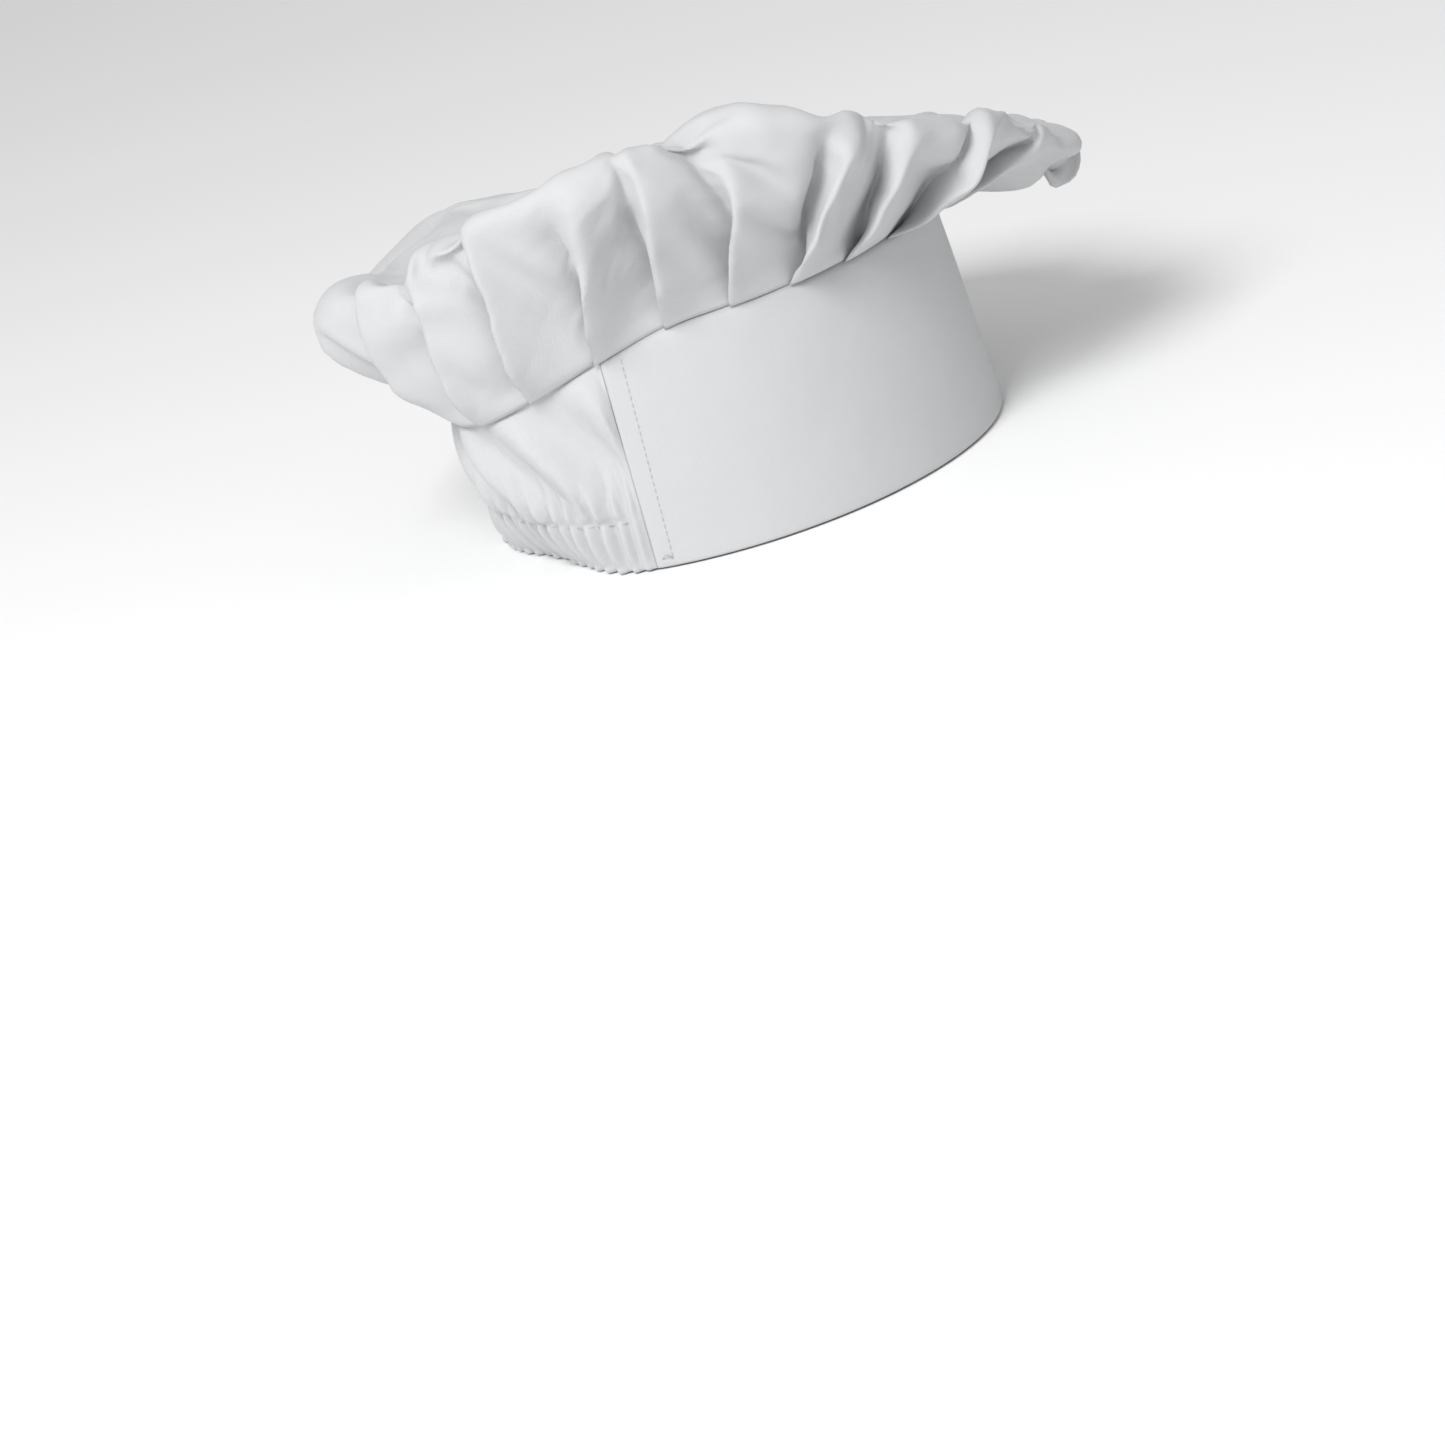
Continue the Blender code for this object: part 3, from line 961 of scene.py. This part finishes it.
class TOQUE_OT_band(bpy.types.Operator):
    """Fold the stiff head band and slide its interfacing in"""

    bl_idname = "toque.band"
    bl_label = "Head band"

    def execute(self, context):
        band = context.scene.toque_band
        finish = context.scene.toque_finish
        self.band = band
        self.turn_at, self.length = WALL.turns_by_length(WALL.end, FULL_TURN - WALL.end, 0.0)
        self.section = FoldedSection(band.thickness, band.cloth)
        cotton = finish_of("cotton_poplin", poplin, finish.cotton)
        fold_rows = 12
        sheet = cut_rectangle(band.columns, 2 * band.rows + fold_rows, self.on_table)
        lay(sheet, self.sewn)
        piece = add_piece("band_cloth", sheet, cotton, thickness=band.cloth)
        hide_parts("head_band")
        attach(piece, "band")

        felt = finish_of("interfacing_felt", interfacing_felt, finish.interfacing)
        margin = 0.0025
        height = WALL.height - 2 * margin
        sheet = cut_rectangle(band.columns // 2, band.rows,
                              lambda s, t: Vector((s * self.length, t * height, 0)))
        lay(sheet, lambda s, t: self.filled(s, t, margin))
        piece = add_piece("band_stiffener", sheet, felt, thickness=band.interfacing)
        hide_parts("band_interfacing")
        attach(piece, "band")
        return {"FINISHED"}

    def around(self, s):
        """Share of the band's length at a share of its columns, which crowd at its ends."""
        return packed(s, 0.1)

    def on_table(self, s, t):
        """Where a point of the band lay when it was cut."""
        along = self.around(s) * self.length
        return Vector((along, self.section.walked(t, WALL.height), 0))

    def stray(self, spot):
        """A slight unevenness, as stiffened cloth has, that fades out towards the rim."""
        slow = noise.noise(spot * 18.0)
        quick = noise.noise(spot * 55.0 + Vector((3, 1, 4)))
        rising = ease(spot.z / WALL.height + 0.35)
        return self.band.unevenness * (slow + 0.3 * quick) * rising

    def sewn(self, s, t):
        share = self.around(s)
        turn = self.turn_at(share)
        height, out = self.section.place(t, WALL.seam(turn).z)
        end = min(share, 1 - share) * self.length
        out *= closed_end(end, self.section.radius * 1.5)
        spot = WALL.point(turn, height, inward=self.section.middle - out)
        return spot + WALL.outward(turn, height) * self.stray(spot)

    def filled(self, s, t, margin):
        end_margin = 0.002 / self.length
        turn = self.turn_at(mix(end_margin, 1 - end_margin, s))
        height = mix(margin, WALL.seam(turn).z - margin, t)
        spot = WALL.point(turn, height, inward=self.section.middle)
        return spot + WALL.outward(turn, height) * self.stray(spot)


# --- Back ---------------------------------------------------------------------------------

class TOQUE_OT_back(bpy.types.Operator):
    """Gather the back panel on its elastic and let it settle"""

    bl_idname = "toque.back"
    bl_label = "Gathered back"

    PANEL_ROWS = 30
    CASING_ROWS = 10
    FOLD_ROWS = 6
    SEWN_FLAT = 0.5         # height of the gathers at the casing's stitches, as a share
    GATHERED = 0.24         # share of the panel's height in which the gathers fade out
    SWELL = 0.0080          # how far the panel's large folds stand out
    HEM = 0.0022            # height at which the casing's hem begins to turn
    HEM_LENGTH = 0.003      # cloth that goes round the hem
    TAPE_INWARD = 0.0014    # middle of the elastic, in from the wall's outside
    BENDING = 1.5           # how stiff the cloth is as it settles

    def execute(self, context):
        back = context.scene.toque_back
        finish = context.scene.toque_finish
        self.back = back
        self.edge = WALL.end - 0.0002 / WALL.rim_width
        self.turn_at, self.arc = WALL.turns_by_length(-self.edge, self.edge, 0.0)
        top_spots = [WALL.seam(mix(-self.edge, self.edge, step / 40)) for step in range(41)]
        self.top_arc = sum((b - a).length for a, b in zip(top_spots, top_spots[1:]))
        rows = self.PANEL_ROWS + 2 * self.CASING_ROWS + self.FOLD_ROWS
        cotton = finish_of("cotton_poplin", poplin, finish.cotton)
        sheet = cut_rectangle(back.columns, rows, self.on_table)
        flat = flat_places(sheet)
        shares = [(vertex.co.x, vertex.co.y) for vertex in sheet.verts]
        lay(sheet, self.sewn)
        piece = add_piece("back_cloth", sheet, cotton)
        panel = self.PANEL_ROWS / rows
        held = [self.hold(s, t / panel) for s, t in shares]
        settle(piece, flat, held, back.settle_steps, self.BENDING)
        finish_cloth(piece, back.cloth)
        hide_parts("back_panel")
        area = sum(self.cut_width(row / 20) for row in range(21)) / 21 * (WALL.height - 0.008)
        area += back.flat_width * back.casing
        follow_back(piece)

        tape = finish_of("elastic_rib", elastic_rib, finish.elastic)
        sheet = cut_rectangle(back.columns, 8,
                              lambda s, t: Vector((s * self.arc, t * back.elastic_width, 0)))
        lay(sheet, self.taped)
        piece = add_piece("back_tape", sheet, tape, thickness=back.elastic)
        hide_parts("elastic_tape")
        follow_back(piece)
        return {"FINISHED"}

    def parts(self, t):
        """Which part a share of the rows is in, and the share of that part."""
        row = t * (self.PANEL_ROWS + 2 * self.CASING_ROWS + self.FOLD_ROWS)
        for part, rows in (("panel", self.PANEL_ROWS), ("outer", self.CASING_ROWS),
                           ("fold", self.FOLD_ROWS), ("lining", self.CASING_ROWS)):
            if row <= rows + 1e-6:
                return part, min(max(row / rows, 0.0), 1.0)
            row -= rows
        return "lining", 1.0

    def cut_width(self, up):
        """Width of cloth between the sides, a share of the way up to the crown seam."""
        return mix(self.back.flat_width, self.top_arc * 1.04, ease(up / 0.4))

    def on_table(self, s, t):
        """Where a point of the panel lay when it was cut; the casing line is at no height."""
        back = self.back
        part, share = self.parts(t)
        turn = self.turn_at(s)
        up = 0.0
        if part == "panel":
            rise = WALL.seam(turn).z - back.casing
            up = 1 - share
            along = rise * (1 + back.slack) * up
        elif part == "outer":
            along = -back.casing * share
        elif part == "fold":
            along = -back.casing - self.HEM_LENGTH * share
        else:
            along = -back.casing - self.HEM_LENGTH - back.casing * share
        return Vector(((s - 0.5) * self.cut_width(up), along, 0))

    def ruffle(self, across):
        """0 in a valley of the gathers and 1 on a crest, unevenly spaced and sized."""
        uneven = 0.5 * noise.noise(Vector((across * 9.0, 0.5, 0.0)))
        wave = 0.5 - 0.5 * math.cos(FULL_TURN * (self.back.ruffles * across + uneven))
        tall = 0.8 + 0.5 * noise.noise(Vector((across * 14.0, 7.3, 0.0)))
        return tall * wave * ease(min(across, 1 - across) * self.back.ruffles)

    def billow(self, across, up):
        """How far the slack cloth above the casing stands out in a few large folds."""
        lean = across + 0.22 * (up - 0.5)
        wave = math.sin(FULL_TURN * (self.back.top_folds * lean + 0.15))
        return (0.5 + 0.5 * wave) ** 1.4

    def sewn(self, s, t):
        back = self.back
        part, share = self.parts(t)
        turn = self.turn_at(s)
        depth = back.ruffle_depth
        crest = self.ruffle(s)
        tape_out = back.elastic / 2 + back.cloth
        side = closed_end(min(s, 1 - s) * self.arc, 0.006)
        if part == "panel":
            up = 1 - share
            height = mix(back.casing, WALL.seam(turn).z, up)
            gathers = depth * crest * math.exp(-((up / self.GATHERED) ** 2))
            swell = self.SWELL * math.sin(math.pi * up) ** 0.8
            folds = swell * (self.billow(s, up) - 0.35) * side
            seam_tuck = 0.0009 * up * up
            out = tape_out * (1 - up) + gathers + folds - seam_tuck
        elif part == "outer":
            height = mix(back.casing, self.HEM, share)
            full = self.SEWN_FLAT + (1.15 - self.SEWN_FLAT) * math.sin(math.pi * share) ** 0.5
            out = tape_out + depth * crest * full
        elif part == "fold":
            angle = math.pi * share
            height = self.HEM * (1 - math.sin(angle)) - 0.0006 * crest * math.sin(angle)
            outer = tape_out + depth * crest
            inner = -tape_out - 0.55 * depth * crest
            out = mix(inner, outer, 0.5 + 0.5 * math.cos(angle))
        else:
            height = mix(self.HEM, back.casing, share)
            out = -tape_out - 0.55 * depth * crest
        near = 1 - closed_end(min(s, 1 - s) * self.arc, 0.003)
        out = mix(out, 0.0002, near)
        return WALL.point(turn, height, inward=self.TAPE_INWARD - out)

    def hold(self, s, down):
        """How firmly a point is held while the cloth settles."""
        if down >= 1 or down < 1e-6 or min(s, 1 - s) < 1e-6:
            return 1.0
        return 0.0

    def taped(self, s, t):
        back = self.back
        turn = self.turn_at(mix(0.01, 0.99, s))
        height = (back.casing - back.elastic_width) / 2 + back.elastic_width * t
        ripple = 0.0002 * math.sin(FULL_TURN * back.ruffles * s)
        return WALL.point(turn, height, inward=self.TAPE_INWARD + ripple)


def follow_back(piece):
    """Bake a piece of the back into its place; where it joins the band and its middle are looked up
    but not used.
    """
    joined = WALL.rim(WALL.end).y
    middle = WALL.rim(0).y
    mix(joined, middle, 0.75)
    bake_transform(piece)


# --- Stitches -----------------------------------------------------------------------------

def surface_of(piece):
    return BVHTree.FromObject(piece, bpy.context.evaluated_depsgraph_get())


def facing(spot, along, normal):
    """Matrix that puts a shape at a spot with its X along a line and its Z out of the cloth."""
    along = along.normalized()
    side = normal.cross(along).normalized()
    out = along.cross(side)
    return Matrix.Translation(spot) @ Matrix((along, side, out)).transposed().to_4x4()


def add_stitch(sheet, start, end, normal, stitches):
    """One visible stitch: a short bead of thread that dips into the cloth at both ends."""
    middle = start.lerp(end, 0.5) + normal * stitches.radius * 0.3
    length = (end - start).length * (1 - stitches.gap_share)
    place = facing(middle, end - start, normal)
    stretch = Matrix.Diagonal((length / 2, stitches.radius, stitches.radius, 1))
    bmesh.ops.create_uvsphere(sheet, u_segments=6, v_segments=6, radius=1.0,
                              matrix=place @ stretch @ Matrix.Rotation(math.pi / 2, 4, "Y"))


def add_tail(sheet, path, radius):
    """A loose end of thread along a path."""
    sides = 6
    along = path[1] - path[0]
    start = facing(path[0], along, UP if abs(along.normalized().z) < 0.9 else Vector((0, 1, 0)))
    turned = start @ Matrix.Rotation(math.pi / 2, 4, "Y")
    made = bmesh.ops.create_circle(sheet, cap_ends=True, segments=sides, radius=radius,
                                   matrix=turned)
    tip = made["verts"][0].link_faces[0]
    for before, after in zip(path, path[1:]):
        grown = bmesh.ops.extrude_face_region(sheet, geom=[tip])
        ends = [item for item in grown["geom"] if isinstance(item, bmesh.types.BMVert)]
        bmesh.ops.translate(sheet, verts=ends, vec=after - before)
        tip = next(item for item in grown["geom"] if isinstance(item, bmesh.types.BMFace))


class TOQUE_OT_stitches(bpy.types.Operator):
    """Sew the seams with single stitches and leave the loose ends"""

    bl_idname = "toque.stitches"
    bl_label = "Stitches"

    FAR = 0.012             # stitches are dropped on to the cloth from this far away
    SEAM_DROP = 0.002       # seam stitches below the band's top edge
    JOIN_INSET = 0.006      # side stitches ahead of the band's ends
    EDGE_GAP = 0.003        # and this far from its bottom and top
    CASING_DROP = 0.0015    # casing stitches below the hem's raw edge

    def execute(self, context):
        self.stitches = context.scene.toque_stitches
        self.thread = finish_of("twisted_thread", twisted_thread,
                                context.scene.toque_finish.thread)
        band = bpy.data.objects["band_cloth"]
        back = bpy.data.objects["back_cloth"]
        casing = context.scene.toque_back.casing - self.CASING_DROP
        edge = WALL.end
        whole = FULL_TURN - edge
        self.sew("band_seam_stitches", "band_seam_thread", band, True,
                 self.level_row(edge + 0.03, whole - 0.03, None))
        piece = self.sew("panel_seam_stitches", "panel_seam_thread", back, True,
                         self.level_row(-edge + 0.06, edge - 0.06, None), "back")
        follow_back(piece)
        piece = self.sew("casing_stitches", "casing_thread", back, False,
                         self.level_row(-edge + 0.03, edge - 0.03, casing), "back")
        follow_back(piece)
        inset = self.JOIN_INSET / WALL.rim_width
        for side, sign in (("right", 1), ("left", -1)):
            row = self.upright_row(sign * (edge + inset))
            self.sew(side + "_join_stitches", side + "_join_thread", band, False, row,
                     tail=True)
        return {"FINISHED"}

    def level_row(self, start, end, height):
        """Turns and heights along the seam, or along the casing at a height."""
        turn_at, length = WALL.turns_by_length(start, end, height or WALL.height / 2)
        steps = round(length / self.stitches.length)
        row = []
        for step in range(steps + 1):
            turn = turn_at(step / steps)
            row.append((turn, height or WALL.seam(turn).z - self.SEAM_DROP))
        return row

    def upright_row(self, turn):
        low = self.EDGE_GAP
        high = WALL.seam(turn).z - self.EDGE_GAP
        steps = round((high - low) / self.stitches.length)
        return [(turn, mix(low, high, step / steps)) for step in range(steps + 1)]

    def dropped(self, surface, turn, height, inside):
        """Where a needle hole at a turn and height meets the cloth, and the way out of it."""
        out = WALL.outward(turn, height)
        if inside:
            out = -out
        wander = self.stitches.wander * noise.noise(Vector((turn * 60.0, height * 900.0, 2.0)))
        above = WALL.point(turn, height + wander, inward=0.0) + out * self.FAR
        spot, normal, _, _ = surface.ray_cast(above, -out, 2 * self.FAR)
        if spot is None:
            return None
        return spot, normal if normal.dot(out) > 0 else -normal

    def sew(self, name, node, cloth, inside, row, body="band", tail=False):
        """Make one row of stitches and the piece that holds them."""
        surface = surface_of(cloth)
        holes = [self.dropped(surface, turn, height, inside) for turn, height in row]
        sheet = bmesh.new()
        for before, after in zip(holes, holes[1:]):
            if before and after:
                add_stitch(sheet, before[0], after[0], (before[1] + after[1]).normalized(),
                           self.stitches)
        if tail and holes[0]:
            self.leave_end(sheet, holes[0])
        bmesh.ops.recalc_face_normals(sheet, faces=sheet.faces)
        piece = add_piece(name, sheet, self.thread)
        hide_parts(node)
        if body == "band":
            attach(piece, "band")
        return piece

    def leave_end(self, sheet, hole):
        """A short loose end that curls away from the last needle hole."""
        spot, normal = hole
        side = normal.cross(UP).normalized()
        length = self.stitches.tail
        steps = 12
        path = []
        for step in range(steps + 1):
            share = step / steps
            curl = math.sin(2.4 * share)
            along = side * (0.45 * length * share) + UP * (0.35 * length * curl - 0.2 * length * share)
            path.append(spot + along + normal * (0.0002 + 0.0012 * math.sin(math.pi * share)))
        add_tail(sheet, path, self.stitches.radius * 0.8)


# --- Stage --------------------------------------------------------------------------------

class TOQUE_OT_stage(bpy.types.Operator):
    """Set up the floor, the lights and the camera"""

    bl_idname = "toque.stage"
    bl_label = "Studio"

    def execute(self, context):
        stage = context.scene.toque_stage
        self.floor(context, stage)
        self.lights(context, stage)
        self.camera(context, stage)
        return {"FINISHED"}

    def floor(self, context, stage):
        sheet = bmesh.new()
        bmesh.ops.create_circle(sheet, cap_ends=True, segments=96, radius=stage.room)
        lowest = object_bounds()[0].z
        bmesh.ops.translate(sheet, verts=sheet.verts, vec=Vector((0, 0, lowest - 0.0002)))
        paper = finish_of("studio_paper", studio_paper, context.scene.toque_finish.floor)
        add_piece("studio_floor", sheet, paper)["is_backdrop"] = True

    def lights(self, context, stage):
        world = bpy.data.worlds.new("studio_air")
        world.use_nodes = True
        air = world.node_tree.nodes["Background"]
        air.inputs["Color"].default_value = (1.0, 1.0, 1.0, 1.0)
        air.inputs["Strength"].default_value = stage.ambience
        context.scene.world = world
        context.scene.view_settings.view_transform = "Standard"
        self.light(context, "key", Vector((-0.9, 1.3, 1.5)), 0.8, stage.key_power)
        self.light(context, "fill", Vector((1.4, -1.6, 1.2)), 1.8, stage.fill_power)

    def light(self, context, name, spot, width, power):
        lamp = bpy.data.lights.new(name, "AREA")
        lamp.size = width
        lamp.energy = power
        light = bpy.data.objects.new(name, lamp)
        light.location = spot
        light.rotation_euler = (spot - Vector((0, 0, 0.08))).to_track_quat("Z", "Y").to_euler()
        context.scene.collection.objects.link(light)

    def camera(self, context, stage):
        flat = math.cos(stage.elevation)
        back = Vector((math.sin(stage.azimuth) * flat, -math.cos(stage.azimuth) * flat,
                       math.sin(stage.elevation)))
        level = UP.cross(back).normalized()
        rise = back.cross(level)
        right = level * math.cos(stage.roll) + rise * math.sin(stage.roll)
        up = rise * math.cos(stage.roll) - level * math.sin(stage.roll)
        aimed = Matrix((right, up, back)).transposed().to_quaternion()
        hat = Vector((stage.right, stage.up, -stage.distance)).normalized()
        turned = Vector((0, 0, -1)).rotation_difference(hat)
        lens = bpy.data.cameras.new("camera")
        lens.sensor_width = 36.0
        lens.lens = lens.sensor_width * stage.distance / stage.frame_width
        camera = bpy.data.objects.new("camera", lens)
        camera.location = back * stage.distance
        camera.rotation_euler = (aimed @ turned.inverted()).to_euler()
        context.scene.collection.objects.link(camera)
        context.scene.camera = camera


# --- Sidebar and running --------------------------------------------------------------------

class TOQUE_PT_sidebar(bpy.types.Panel):
    """Lists the steps that make the hat, with their settings"""

    bl_idname = "TOQUE_PT_sidebar"
    bl_label = "Chef's toque"
    bl_space_type = "VIEW_3D"
    bl_region_type = "UI"
    bl_category = "Toque"

    def draw(self, context):
        for operator in OPERATORS:
            self.layout.operator(operator.bl_idname)
        for name in GROUPS:
            box = self.layout.box()
            settings = getattr(context.scene, name)
            for setting in settings.__annotations__:
                box.prop(settings, setting)


OPERATORS = [TOQUE_OT_band, TOQUE_OT_back, TOQUE_OT_crown, TOQUE_OT_stitches, TOQUE_OT_stage]
CLASSES = [*GROUPS.values(), *OPERATORS, TOQUE_PT_sidebar]


def register():
    for item in CLASSES:
        bpy.utils.register_class(item)
    for name, group in GROUPS.items():
        setattr(bpy.types.Scene, name, bpy.props.PointerProperty(type=group))


def unregister():
    for name in GROUPS:
        delattr(bpy.types.Scene, name)
    for item in reversed(CLASSES):
        bpy.utils.unregister_class(item)


def main():
    register()
    bpy.ops.toque.band()
    bpy.ops.toque.back()
    bpy.ops.toque.crown()
    bpy.ops.toque.stitches()
    bpy.ops.toque.stage()


if __name__ == "__main__":
    main()
